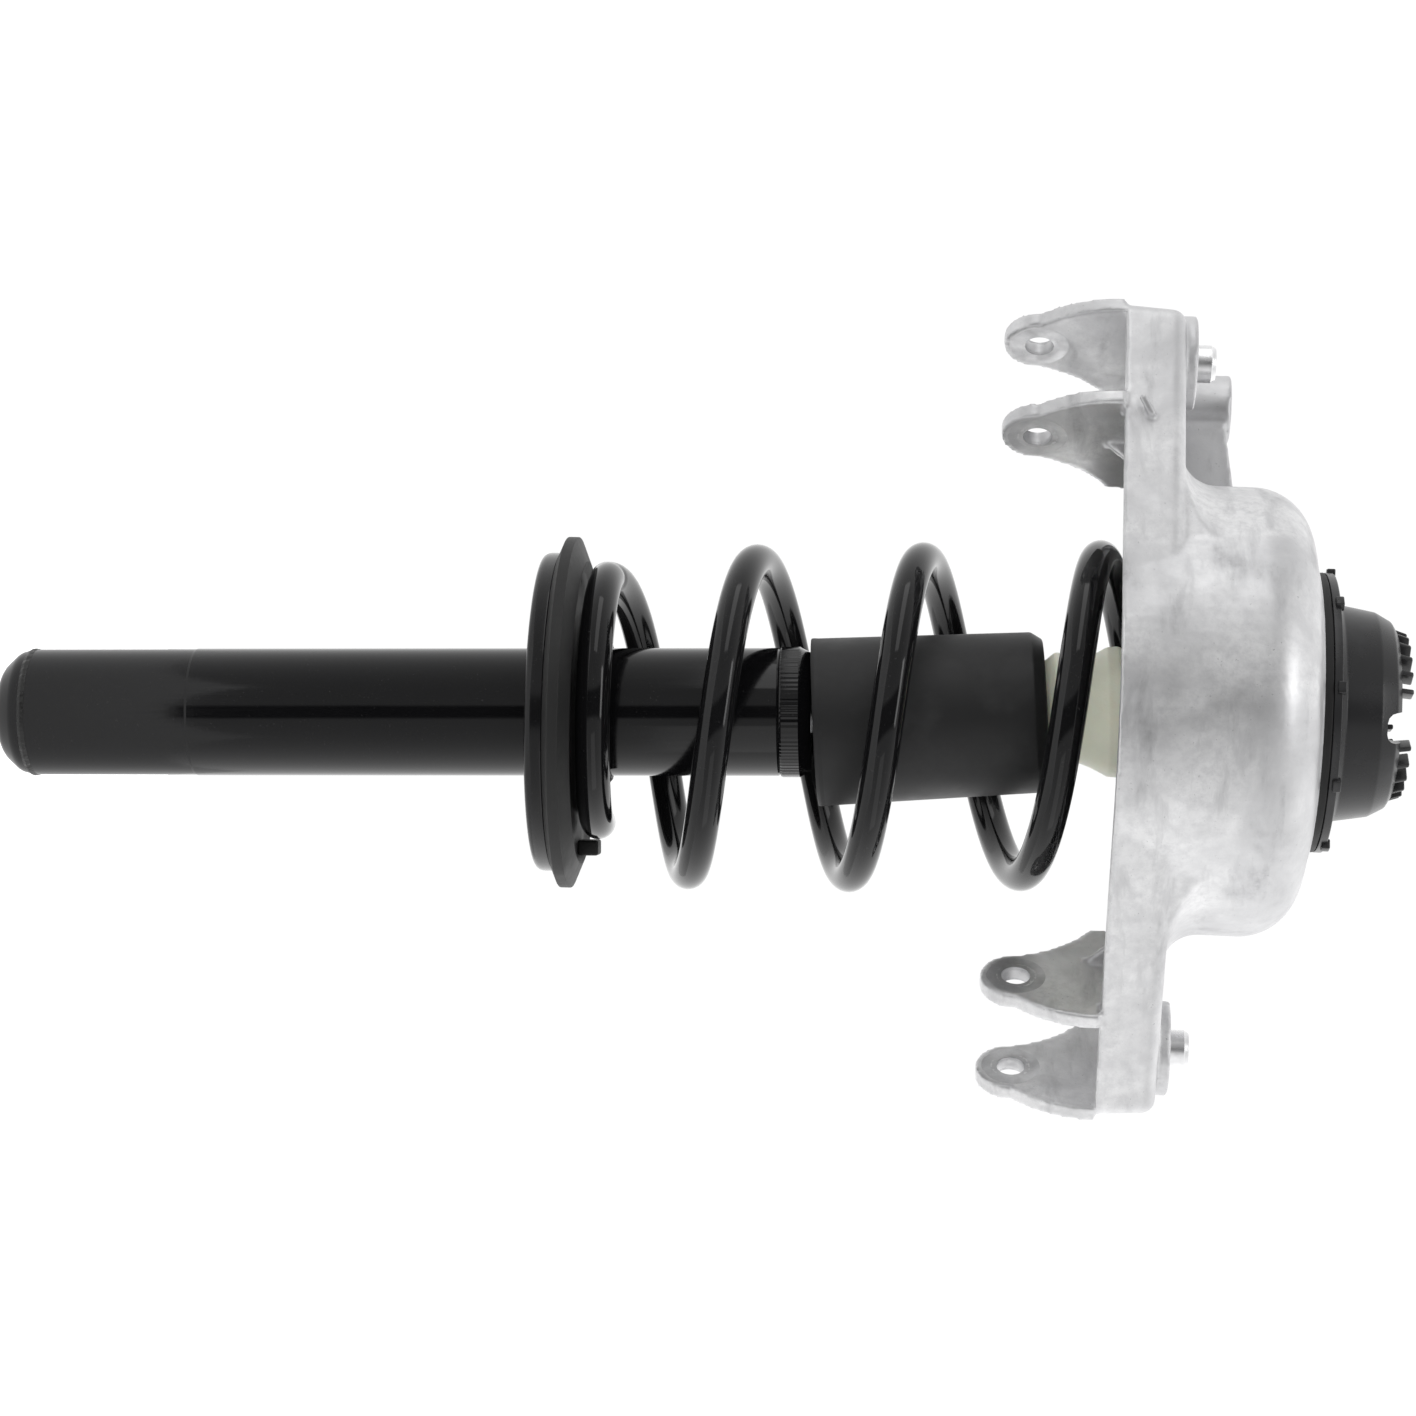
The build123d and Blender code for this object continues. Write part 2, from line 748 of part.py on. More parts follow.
def top_cap():
    """Flanged plastic cap with a finned crown, a sunk floor and notches in its rim."""
    inner_crown = cap_crown_radius - 5.0
    points = [
        (cap_radius, cap_flange_z),
        (cap_radius, cap_flange_z + cap_flange_thick),
        (cap_dome_radius, cap_flange_z + cap_flange_thick + 1.0),
        (cap_shoulder_radius, cap_shoulder_z),
        (cap_crown_radius + 3.0, cap_crown_z - 2.0),
        (cap_crown_radius - 0.5, cap_crown_z),
        (inner_crown, cap_crown_z),
        (inner_crown - 2.0, cap_floor_z + cap_wall),
        (0, cap_floor_z + cap_wall),
        (0, cap_floor_z),
        (inner_crown, cap_floor_z),
        (inner_crown + 2.0, cap_shoulder_z - 2.0),
        (cap_shoulder_radius - cap_wall, cap_shoulder_z - 3.0),
        (cap_dome_radius - cap_wall, cap_flange_z),
    ]
    cap = turned(points)
    fin_bottom = cap_crown_z - 3.0
    height = cap_top_z - fin_bottom
    fin_x = cap_crown_radius - fin_reach / 2
    for k in range(crown_fins):
        fin = Pos(fin_x, 0, fin_bottom + height / 2) * Box(fin_reach, fin_thickness, height)
        cap += Rot(0, 0, 360 / crown_fins * k) * fin
    depth = cap_top_z + 1 - cap_notch_z
    for k in range(cap_notches):
        notch = Box(cap_notch_reach, cap_notch_width, depth)
        notch = Pos(cap_shoulder_radius - 3, 0, cap_notch_z + depth / 2) * notch
        cap -= Rot(0, 0, cap_notch_angle + 360 / cap_notches * k) * notch
    return in_bracket_frame(Pos(cap_centre_x, 0, 0) * cap)


NODES = {
    "damper_tube": damper_tube(),
    "bottom_cap": bottom_cap(),
    "bottom_weld": bottom_weld(),
    "closure_cap": closure_cap(),
    "rod_guide": rod_guide(),
    "rod_seal": rod_seal(),
    "pressure_tube": pressure_tube(),
    "base_valve": base_valve(),
    "piston_rod": piston_rod(),
    "piston": piston(),
    "piston_band": piston_band(),
    "piston_nut": piston_nut(),
    "rebound_collar": rebound_collar(),
    "rebound_stop": rebound_stop(),
    "spring_perch": spring_perch(),
    "perch_weld": perch_weld(),
    "lower_isolator": lower_isolator(),
    "coil_spring": coil_spring(),
    "bracket": bracket(),
    "locating_sleeves": locating_sleeves(),
    "mount_ring": mount_ring(),
    "mount_rubber": mount_rubber(),
    "mount_core": mount_core(),
    "stop_plate": stop_plate(),
    "rebound_washer": rebound_washer(),
    "rod_nut": rod_nut(),
    "upper_isolator": upper_isolator(),
    "bump_cup": bump_cup(),
    "bump_stop": bump_stop(),
    "dust_cover": dust_cover(),
    "cap_seal": cap_seal(),
    "top_cap": top_cap(),
}

for name, shape in NODES.items():
    export_step(shape, f"parts/{name}.step")
    print(name, shape.bounding_box().size, len(shape.solids()))
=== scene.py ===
"""Looks of the strut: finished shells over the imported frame, materials, light and camera."""
import math

import bmesh
import bpy
import numpy as np
from mathutils import Matrix, Vector


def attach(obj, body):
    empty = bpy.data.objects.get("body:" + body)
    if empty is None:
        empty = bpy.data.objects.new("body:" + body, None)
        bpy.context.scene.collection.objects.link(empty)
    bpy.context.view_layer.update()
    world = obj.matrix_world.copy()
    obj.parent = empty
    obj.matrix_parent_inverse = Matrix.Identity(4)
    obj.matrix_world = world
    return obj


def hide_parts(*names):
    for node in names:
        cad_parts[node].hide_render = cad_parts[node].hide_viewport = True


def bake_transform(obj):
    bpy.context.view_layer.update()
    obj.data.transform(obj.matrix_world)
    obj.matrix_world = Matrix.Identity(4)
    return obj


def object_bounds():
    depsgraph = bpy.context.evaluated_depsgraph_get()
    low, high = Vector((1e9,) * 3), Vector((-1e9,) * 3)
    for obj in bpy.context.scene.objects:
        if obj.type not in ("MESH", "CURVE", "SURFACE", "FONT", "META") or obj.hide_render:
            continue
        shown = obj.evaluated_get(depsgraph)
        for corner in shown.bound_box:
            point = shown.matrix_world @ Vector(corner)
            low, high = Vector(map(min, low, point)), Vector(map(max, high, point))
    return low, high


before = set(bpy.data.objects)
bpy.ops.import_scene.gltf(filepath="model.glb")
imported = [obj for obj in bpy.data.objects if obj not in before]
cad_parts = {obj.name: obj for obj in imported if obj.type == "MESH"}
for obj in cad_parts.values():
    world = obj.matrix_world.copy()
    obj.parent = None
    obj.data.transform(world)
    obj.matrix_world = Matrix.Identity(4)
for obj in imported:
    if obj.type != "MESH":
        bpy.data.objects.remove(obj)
CAD_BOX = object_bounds()

# ---- Driving sizes in mm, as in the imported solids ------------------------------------
MM = 0.001
BRACKET_LEAN = math.radians(2.3)
PERCH_LEAN = math.radians(1.4)
COVER_LEAN = math.radians(-2.6)
PERCH_PIVOT_Z = -0.266
CAP_CENTRE_X = -2.1
MAIN_PADS_X = (-148.5, 143.5)
SIDE_PAD = (-134.0, 54.0, 19.5)
THREAD_HOLE = 4.25
EAR_ANGLE = math.radians(31.0)
EAR_Y = -8.0
EAR_HALF_GAP = 23.75
EAR_HALF_SHEET = 3.25
EAR_HOLE_Z = -66.2
FRONT_EARS_X = -136.5
REAR_EARS_X = 136.8
FACING_PROUD = 0.03

# Mesh finish
ROUND_STEPS = 6
CAST_VOXEL = 0.001
CAST_RELAX_ROUNDS = 36


# ---- Node helpers -----------------------------------------------------------------
class Shader:
    """A Principled material with short calls to add procedural detail."""

    def __init__(self, name, colour, roughness, metallic=0.0, **sockets):
        self.material = bpy.data.materials.new(name)
        self.material.use_nodes = True
        self.tree = self.material.node_tree
        self.surface = self.tree.nodes["Principled BSDF"]
        self.surface.inputs["Base Color"].default_value = (*colour, 1)
        self.surface.inputs["Roughness"].default_value = roughness
        self.surface.inputs["Metallic"].default_value = metallic
        for socket, value in sockets.items():
            self.surface.inputs[socket.replace("_", " ")].default_value = value
        self.place = self.tree.nodes.new("ShaderNodeTexCoord").outputs["Object"]
        self.height = None

    def node(self, kind, inputs=None, **settings):
        made = self.tree.nodes.new(kind)
        for key, value in settings.items():
            setattr(made, key, value)
        for key, value in (inputs or {}).items():
            if isinstance(value, bpy.types.NodeSocket):
                self.tree.links.new(value, made.inputs[key])
            else:
                made.inputs[key].default_value = value
        return made

    def stretched(self, x, y, z):
        return self.node("ShaderNodeMapping", {"Vector": self.place, "Scale": (x, y, z)}).outputs["Vector"]

    def noise(self, scale, detail=4.0, rough=0.55, at=None, distortion=0.0):
        values = {
            "Vector": at or self.place,
            "Scale": scale,
            "Detail": detail,
            "Roughness": rough,
            "Distortion": distortion,
        }
        return self.node("ShaderNodeTexNoise", values).outputs["Fac"]

    def cells(self, scale, at=None):
        values = {"Vector": at or self.place, "Scale": scale}
        return self.node("ShaderNodeTexVoronoi", values).outputs["Distance"]

    def ramp(self, value, low, high, bottom=0.0, top=1.0):
        values = {"Value": value, "From Min": low, "From Max": high, "To Min": bottom, "To Max": top}
        return self.node("ShaderNodeMapRange", values).outputs["Result"]

    def blend_colours(self, factor, first, second):
        mix = self.node("ShaderNodeMix", {"Factor": factor}, data_type="RGBA")
        for socket, value in (("A", first), ("B", second)):
            slot = next(s for s in mix.inputs if s.name == socket and s.type == "RGBA")
            if isinstance(value, bpy.types.NodeSocket):
                self.tree.links.new(value, slot)
            else:
                slot.default_value = (*value, 1)
        return next(s for s in mix.outputs if s.type == "RGBA")

    def colour(self, socket):
        self.tree.links.new(socket, self.surface.inputs["Base Color"])
        return self

    def roughness(self, socket):
        self.tree.links.new(socket, self.surface.inputs["Roughness"])
        return self

    def bump(self, value, depth):
        """Adds relief; depth is in metres from the value's 0 to its 1."""
        values = {"Height": value, "Strength": 1.0, "Distance": depth}
        if self.height is not None:
            values["Normal"] = self.height
        self.height = self.node("ShaderNodeBump", values).outputs["Normal"]
        self.tree.links.new(self.height, self.surface.inputs["Normal"])
        return self


# ---- Materials ----------------------------------------------------------------------
def gloss_paint(name, roughness, peel):
    paint = Shader(name, (0.004, 0.004, 0.0045), roughness, Specular_IOR_Level=0.36)
    drift = paint.noise(9.0, 5.0)
    paint.roughness(paint.ramp(drift, 0.3, 0.7, roughness * 0.75, roughness * 1.5))
    dust = paint.noise(900.0, 2.0)
    paint.colour(paint.blend_colours(paint.ramp(dust, 0.66, 0.8), (0.006, 0.006, 0.0065), (0.03, 0.03, 0.03)))
    paint.bump(paint.noise(260.0, 2.0), peel)
    paint.bump(paint.noise(30.0, 3.0), peel * 1.5)
    return paint.material


def tube_paint():
    """Black paint with faint drawn lines along the tube."""
    paint = Shader("tube_paint", (0.004, 0.004, 0.0045), 0.1, Specular_IOR_Level=0.36)
    lines = paint.noise(40.0, 3.0, at=paint.stretched(22.0, 22.0, 0.6))
    paint.roughness(paint.ramp(lines, 0.3, 0.75, 0.07, 0.13))
    specks = paint.noise(1100.0, 2.0)
    speckled = paint.ramp(specks, 0.68, 0.8)
    paint.colour(paint.blend_colours(speckled, (0.004, 0.004, 0.0045), (0.035, 0.035, 0.035)))
    paint.bump(lines, 4e-6)
    paint.bump(paint.noise(320.0, 2.0), 5e-6)
    return paint.material


def weld_paint():
    """Paint over rough weld metal."""
    paint = Shader("weld_paint", (0.008, 0.008, 0.008), 0.28)
    paint.roughness(paint.ramp(paint.noise(300.0), 0.3, 0.7, 0.18, 0.5))
    paint.bump(paint.noise(420.0, 5.0), 2.5e-4)
    paint.bump(paint.cells(260.0), 2.0e-4)
    return paint.material


def cast_aluminium():
    """Die-cast skin: cloudy stains, flow marks, fine pits."""
    cast = Shader("cast_aluminium", (0.78, 0.78, 0.785), 0.5, metallic=0.9)
    clouds = cast.noise(16.0, 7.0, 0.62, distortion=0.6)
    streaks = cast.noise(24.0, 6.0, 0.6, at=cast.stretched(1.0, 1.0, 3.2), distortion=0.3)
    pale = (0.845, 0.845, 0.85)
    dull = (0.56, 0.56, 0.57)
    deep = (0.4, 0.4, 0.41)
    stained = cast.blend_colours(cast.ramp(clouds, 0.36, 0.68), pale, dull)
    marked = cast.blend_colours(cast.ramp(streaks, 0.55, 0.78), stained, deep)
    grit = cast.ramp(cast.noise(230.0, 6.0, 0.7), 0.42, 0.72)
    gritty = cast.blend_colours(grit, marked, (0.66, 0.66, 0.67))
    pits = cast.ramp(cast.noise(700.0, 3.0), 0.68, 0.8)
    cast.colour(cast.blend_colours(pits, gritty, deep))
    cast.roughness(cast.ramp(cast.noise(60.0, 6.0), 0.3, 0.7, 0.38, 0.6))
    cast.bump(cast.noise(34.0, 4.0), 3.5e-4)
    cast.bump(cast.noise(380.0, 4.0), 7e-5)
    cast.bump(pits, -6e-5)
    return cast.material


def machined_aluminium():
    """Turned or faced metal with fine tool rings."""
    cut = Shader("machined_aluminium", (0.86, 0.86, 0.865), 0.3, metallic=1.0, Anisotropic=0.4)
    wear = cut.noise(90.0, 5.0)
    cut.colour(cut.blend_colours(cut.ramp(wear, 0.4, 0.75), (0.88, 0.88, 0.885), (0.68, 0.68, 0.69)))
    cut.roughness(cut.ramp(wear, 0.3, 0.7, 0.22, 0.4))
    cut.bump(cut.noise(60.0, 2.0, at=cut.stretched(1.0, 1.0, 40.0)), 2e-5)
    return cut.material


def faced_aluminium():
    """Milled faces, a little smoother than the casting round them."""
    cut = Shader("faced_aluminium", (0.66, 0.66, 0.67), 0.42, metallic=0.92)
    wear = cut.noise(110.0, 6.0)
    cut.colour(cut.blend_colours(cut.ramp(wear, 0.35, 0.7), (0.72, 0.72, 0.73), (0.5, 0.5, 0.51)))
    cut.roughness(cut.ramp(wear, 0.3, 0.7, 0.34, 0.5))
    cut.bump(cut.noise(500.0, 3.0), 2e-5)
    return cut.material


def soft_black(name, colour, roughness, grain, depth):
    """Moulded rubber or plastic: fine grain, bloom and scuffs."""
    soft = Shader(name, colour, roughness, Specular_IOR_Level=0.4)
    bloom = soft.noise(40.0, 6.0, 0.6)
    lighter = tuple(min(1.0, c * 2.0 + 0.004) for c in colour)
    soft.colour(soft.blend_colours(soft.ramp(bloom, 0.5, 0.8), colour, lighter))
    soft.roughness(soft.ramp(bloom, 0.3, 0.7, roughness * 0.85, min(1.0, roughness * 1.2)))
    soft.bump(soft.noise(grain, 3.0), depth)
    soft.bump(soft.noise(55.0, 3.0), depth * 2)
    return soft.material


def cream_foam():
    """Moulded cellular urethane with a waxy skin."""
    foam = Shader("cream_urethane", (0.80, 0.82, 0.66), 0.42, Subsurface_Weight=0.15, Subsurface_Scale=0.004)
    stain = foam.noise(45.0, 5.0)
    foam.colour(foam.blend_colours(foam.ramp(stain, 0.4, 0.75), (0.93, 0.95, 0.78), (0.84, 0.85, 0.69)))
    foam.roughness(foam.ramp(foam.noise(120.0), 0.3, 0.7, 0.34, 0.55))
    foam.bump(foam.cells(900.0), 4e-5)
    foam.bump(foam.noise(60.0, 3.0), 8e-5)
    return foam.material


def steel(name, colour, roughness):
    bare = Shader(name, colour, roughness, metallic=1.0, Anisotropic=0.3)
    turning = bare.noise(50.0, 3.0, at=bare.stretched(1.0, 1.0, 30.0))
    bare.roughness(bare.ramp(turning, 0.3, 0.7, roughness * 0.8, roughness * 1.4))
    darker = tuple(c * 0.75 for c in colour)
    bare.colour(bare.blend_colours(bare.ramp(bare.noise(70.0, 5.0), 0.4, 0.7), colour, darker))
    bare.bump(turning, 1e-5)
    return bare.material


def make_materials():
    return {
        "black_paint": tube_paint(),
        "perch_paint": gloss_paint("perch_paint", 0.16, 1.0e-5),
        "weld_paint": weld_paint(),
        "spring_paint": gloss_paint("spring_paint", 0.08, 7e-6),
        "cast_aluminium": cast_aluminium(),
        "machined_aluminium": machined_aluminium(),
        "faced_aluminium": faced_aluminium(),
        "black_rubber": soft_black("black_rubber", (0.010, 0.010, 0.010), 0.55, 1400.0, 2.5e-5),
        "cover_plastic": soft_black("cover_plastic", (0.013, 0.013, 0.0135), 0.5, 1100.0, 1.6e-5),
        "black_plastic": soft_black("black_plastic", (0.02, 0.02, 0.021), 0.27, 900.0, 1.4e-5),
        "cream_urethane": cream_foam(),
        "plain_steel": steel("plain_steel", (0.56, 0.56, 0.57), 0.34),
        "hard_chrome": steel("hard_chrome", (0.75, 0.75, 0.77), 0.1),
        "bronze_band": steel("bronze_band", (0.42, 0.30, 0.15), 0.42),
    }


# ---- Mesh helpers ------------------------------------------------------------------------
def rounded(points):
    """An outline of (radius, height, corner radius) in mm with its corners rounded."""
    outline = []
    count = len(points)
    for k in range(count):
        here = Vector(points[k][:2])
        corner = points[k][2] if len(points[k]) > 2 else 0.0
        before = Vector(points[k - 1][:2]) - here
        after = Vector(points[(k + 1) % count][:2]) - here
        if corner <= 0 or before.length < 1e-6 or after.length < 1e-6:
            outline.append(here)
            continue
        half = before.angle(after) / 2
        cut = min(corner / math.tan(half), before.length * 0.49, after.length * 0.49)
        start = here + before.normalized() * cut
        stop = here + after.normalized() * cut
        for step in range(ROUND_STEPS + 1):
            t = step / ROUND_STEPS
            outline.append((1 - t) ** 2 * start + 2 * t * (1 - t) * here + t * t * stop)
    return outline


def lathe(name, points, segments=160, wobble=None):
    """Turns a closed outline about Z; wobble(radius, height, angle) may shift the radius."""
    outline = rounded(points)
    mesh = bmesh.new()
    rings = []
    for s in range(segments):
        angle = 2 * math.pi * s / segments
        row = []
        for r, z in outline:
            radius = r + (wobble(r, z, angle) if wobble else 0.0)
            row.append(mesh.verts.new((radius * math.cos(angle) * MM, radius * math.sin(angle) * MM, z * MM)))
        rings.append(row)
    size = len(outline)
    for s in range(segments):
        here, there = rings[s], rings[(s + 1) % segments]
        for k in range(size):
            nxt = (k + 1) % size
            mesh.faces.new((here[k], here[nxt], there[nxt], there[k]))
    bmesh.ops.remove_doubles(mesh, verts=mesh.verts, dist=1e-6)
    bmesh.ops.dissolve_degenerate(mesh, dist=1e-7, edges=mesh.edges)
    return finish_mesh(name, mesh)


def finish_mesh(name, mesh, flat_above=40.0):
    """Turns a bmesh into an object, smooth except at its sharp edges."""
    bmesh.ops.recalc_face_normals(mesh, faces=mesh.faces)
    for face in mesh.faces:
        face.smooth = True
    limit = math.radians(flat_above)
    for edge in mesh.edges:
        if edge.is_manifold and edge.calc_face_angle(0.0) > limit:
            edge.smooth = False
    data = bpy.data.meshes.new(name)
    mesh.to_mesh(data)
    mesh.free()
    piece = bpy.data.objects.new(name, data)
    bpy.context.scene.collection.objects.link(piece)
    return piece


def lean(piece, angle, pivot_z=0.0):
    """Leans a piece about Y through a point on the strut axis."""
    pivot = Vector((0, 0, pivot_z))
    turn = Matrix.Translation(pivot) @ Matrix.Rotation(angle, 4, "Y") @ Matrix.Translation(-pivot)
    piece.data.transform(turn)
    return piece


def place(piece, material, body, slot, *nodes):
    """Gives a finished piece its material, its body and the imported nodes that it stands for."""
    piece.data.materials.clear()
    piece.data.materials.append(material)
    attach(piece, body)
    if nodes:
        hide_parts(*nodes)
    return piece


def box_mesh(name, low, high, bevel):
    """A bevelled block between two corners, in mm."""
    mesh = bmesh.new()
    bmesh.ops.create_cube(mesh, size=1.0)
    size = Vector(high) - Vector(low)
    middle = (Vector(high) + Vector(low)) / 2
    bmesh.ops.scale(mesh, vec=size * MM, verts=mesh.verts)
    bmesh.ops.translate(mesh, vec=middle * MM, verts=mesh.verts)
    bmesh.ops.bevel(mesh, geom=mesh.edges[:], offset=bevel * MM, segments=3, affect="EDGES", profile=0.5)
    return finish_mesh(name, mesh)


def join(pieces):
    """Joins several mesh objects into the first one."""
    mesh = bmesh.new()
    for piece in pieces:
        mesh.from_mesh(piece.data)
    name = pieces[0].name
    for piece in pieces:
        bpy.data.objects.remove(piece, do_unlink=True)
    return finish_mesh(name, mesh)


def cut(piece, cutter):
    """Takes cutter's volume out of piece, and drops the cutter."""
    carve = piece.modifiers.new("cut", "BOOLEAN")
    carve.operation = "DIFFERENCE"
    carve.solver = "EXACT"
    carve.object = cutter
    bake(piece)
    bpy.data.objects.remove(cutter, do_unlink=True)
    return piece


def bake(piece):
    """Applies a piece's modifiers."""
    bpy.context.view_layer.update()
    shown = piece.evaluated_get(bpy.context.evaluated_depsgraph_get())
    data = bpy.data.meshes.new_from_object(shown)
    piece.modifiers.clear()
    piece.data = data
    return piece


# ---- Damper ----------------------------------------------------------------------------------
def ripple(depth, *counts):
    """A sum of sines round the axis, for hand-laid weld metal."""

    def shift(_, z, angle):
        total = 0.0
        for k, count in enumerate(counts):
            total += math.sin(count * angle + 1.7 * k + 0.9 * z * (k % 3))
        return depth * total / len(counts)

    return shift


def damper(look):
    body = "damper_body"
    tube = lathe("tube_shell", [
        (25.3, -494.0), (27.3, -494.0, 0.4), (27.3, -424.2, 0.3), (27.5, -423.2, 0.3),
        (27.5, -171.6, 0.4), (26.9, -170.5), (25.3, -170.5),
    ], 192)
    place(tube, look["black_paint"], body, "black_paint", "damper_tube")
    tip = lathe("tube_end", [
        (0.0, -507.4), (0.0, -511.0, 0.0), (9.0, -510.6, 14.0), (19.5, -507.6, 12.0),
        (26.2, -500.2, 7.0), (26.9, -496.0, 0.6), (23.9, -496.0),
        (22.5, -500.0), (12.0, -506.5),
    ], 192)
    place(tip, look["black_paint"], body, "black_paint", "bottom_cap")
    bead = lathe("tube_end_weld", [
        (24.2, -496.2), (26.9, -496.9, 0.5), (27.7, -495.4, 0.6), (27.5, -493.7, 0.4), (24.2, -493.8),
    ], 360, ripple(0.16, 23, 41, 67, 97))
    place(bead, look["weld_paint"], body, "black_paint", "bottom_weld")

    def crimp(r, z, angle):
        held = 1.0 if -170.4 < z < -161.5 and r > 27.0 else 0.0
        wave = math.sin(84 * angle + 2.1 * math.sin(7 * angle)) * (0.6 + 0.4 * math.sin(11 * angle))
        return 0.17 * held * wave

    collar = lathe("closure_collar", [
        (25.3, -170.5), (27.6, -170.5, 0.3), (27.9, -169.6, 0.3), (27.9, -166.0), (27.9, -162.4, 0.5),
        (27.0, -160.6, 0.8), (25.2, -157.0, 1.2), (19.0, -157.0, 0.4), (19.0, -159.5), (25.3, -159.5),
    ], 504, crimp)
    place(collar, look["black_paint"], body, "black_paint", "closure_cap")


def perch(look):
    body = "damper_body"
    pan = lathe("perch_pan", [
        (28.6, -267.0), (30.0, -268.0, 2.0), (38.0, -273.0, 6.0), (46.0, -274.0, 4.0),
        (68.5, -274.0, 7.5), (68.5, -266.0, 1.0), (65.5, -266.0, 0.8),
        (64.0, -270.6, 2.0), (46.0, -271.0, 3.0), (39.0, -270.0, 3.0), (31.0, -264.0, 2.0), (28.6, -264.0),
    ], 192)
    lean(pan, PERCH_LEAN, PERCH_PIVOT_Z)
    collar = lathe("perch_collar", [
        (27.45, -266.0), (31.0, -266.0), (31.0, -246.7, 1.2), (29.4, -246.2, 0.6), (27.45, -246.2),
    ], 192)
    place(join([pan, collar]), look["perch_paint"], body, "black_paint", "spring_perch")
    bead = lathe("perch_bead", [
        (27.3, -247.6), (30.9, -247.6, 0.6), (30.6, -244.9, 1.0), (28.8, -243.3, 0.8), (27.3, -243.2),
    ], 540, ripple(0.9, 19, 37, 58, 83, 131))
    place(bead, look["weld_paint"], body, "black_paint", "perch_weld")


# ---- Coil spring -------------------------------------------------------------------------------
# Heights and radii are in mm, the rest in turns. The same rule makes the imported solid.
TAIL_Z = -249.2
TAIL_RISE = 4.5
FIRST_TURN_Z = -212.5
PITCH = 67.0
PITCH_GROWTH = 2.0
SWAY = 1.55
NOD = 1.3
DRIFT = 2.8
TOP_DRIFT = 1.0
ACTIVE = 3.165
CLOSING = 0.3
TOP_TURNS = 0.85
WIRE = 7.3
COIL = 67.5
TAIL = 47.5
STEPS_PER_TURN = 96
WIRE_SIDES = 28
TIP_ROUND = 1.6


def smoothstep(value):
    held = max(0.0, min(1.0, value))
    return held * held * (3 - 2 * held)


def coil_centre(turn):
    """Centre of the wire after so many turns from the lower tip, in mm."""
    seat_turn = 1.0 + ACTIVE
    angle = 2 * math.pi * turn
    radius = TAIL + (COIL - TAIL) * smoothstep(turn)
    if turn < 0.5:
        height = TAIL_Z + TAIL_RISE * turn / 0.5
    else:
        rise = min(turn - 1.0, ACTIVE)
        height = FIRST_TURN_Z + PITCH * rise + PITCH_GROWTH * rise * rise
        sway = smoothstep((turn - 0.5) / 0.5) * smoothstep(seat_turn - turn)
        height += (SWAY * math.cos(angle) + NOD * math.sin(angle)) * sway
    if turn > seat_turn:
        run = min(turn - seat_turn, CLOSING)
        height += (PITCH + 2 * PITCH_GROWTH * ACTIVE) * (run - run * run / (2 * CLOSING))
    slope = math.tan(BRACKET_LEAN) * smoothstep((turn - seat_turn + 0.5) / 0.5)
    share = max(0.0, min(1.0, (turn - 1.5) / (seat_turn - 1.5)))
    drift = (DRIFT + (TOP_DRIFT - DRIFT) * share) * smoothstep(turn - 0.5)
    x = radius * math.cos(angle) + drift
    return Vector((x, -radius * math.sin(angle), height - slope * x))


def spring(look):
    """One round wire along coil_centre, its end turns at their seats and its tips rounded; a fixed mesh that
    does not follow the stroke.
    """
    turns = 1.0 + ACTIVE + TOP_TURNS
    steps = int(turns * STEPS_PER_TURN)
    stations = [(0.0, -TIP_ROUND, WIRE - TIP_ROUND)]
    stations += [(turns * k / steps, 0.0, WIRE) for k in range(steps + 1)]
    stations.append((turns, TIP_ROUND, WIRE - TIP_ROUND))
    mesh = bmesh.new()
    rings = []
    for turn, along, radius in stations:
        here = coil_centre(turn)
        ahead = (coil_centre(min(turns, turn + 0.004)) - coil_centre(max(0.0, turn - 0.004))).normalized()
        outward = Vector((here.x, here.y, 0)).normalized()
        side = ahead.cross(outward).normalized()
        outward = side.cross(ahead).normalized()
        centre = here + ahead * along
        row = []
        for j in range(WIRE_SIDES):
            angle = 2 * math.pi * j / WIRE_SIDES
            spot = centre + radius * (math.cos(angle) * outward + math.sin(angle) * side)
            row.append(mesh.verts.new(spot * MM))
        rings.append(row)
    for k in range(len(rings) - 1):
        for j in range(WIRE_SIDES):
            nxt = (j + 1) % WIRE_SIDES
            mesh.faces.new((rings[k][j], rings[k][nxt], rings[k + 1][nxt], rings[k + 1][j]))
    mesh.faces.new(rings[0])
    mesh.faces.new(list(reversed(rings[-1])))
    piece = finish_mesh("coil_spring_wire", mesh)
    piece.data.materials.append(look["spring_paint"])
    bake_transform(piece)
    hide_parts("coil_spring")
    return piece


def isolator(look):
    body = "damper_body"
    seat = lathe("lower_seat", [
        (40.0, -269.6), (63.3, -269.6), (65.4, -266.2), (69.2, -266.1, 0.4), (75.5, -263.4, 0.5),
        (75.5, -259.0, 0.5), (65.2, -254.9, 0.8), (60.5, -257.0, 2.0), (43.0, -257.0, 3.0),
        (40.0, -246.5, 0.8), (34.0, -246.5, 0.8), (34.0, -262.0),
    ], 192)
    lean(seat, PERCH_LEAN, PERCH_PIVOT_Z)
    stop = box_mesh("stop", (55.4, 1.0, -258.5), (62.0, 16.0, -249.6), 1.0)
    place(join([seat, stop]), look["black_rubber"], body, "black_rubber", "lower_isolator")


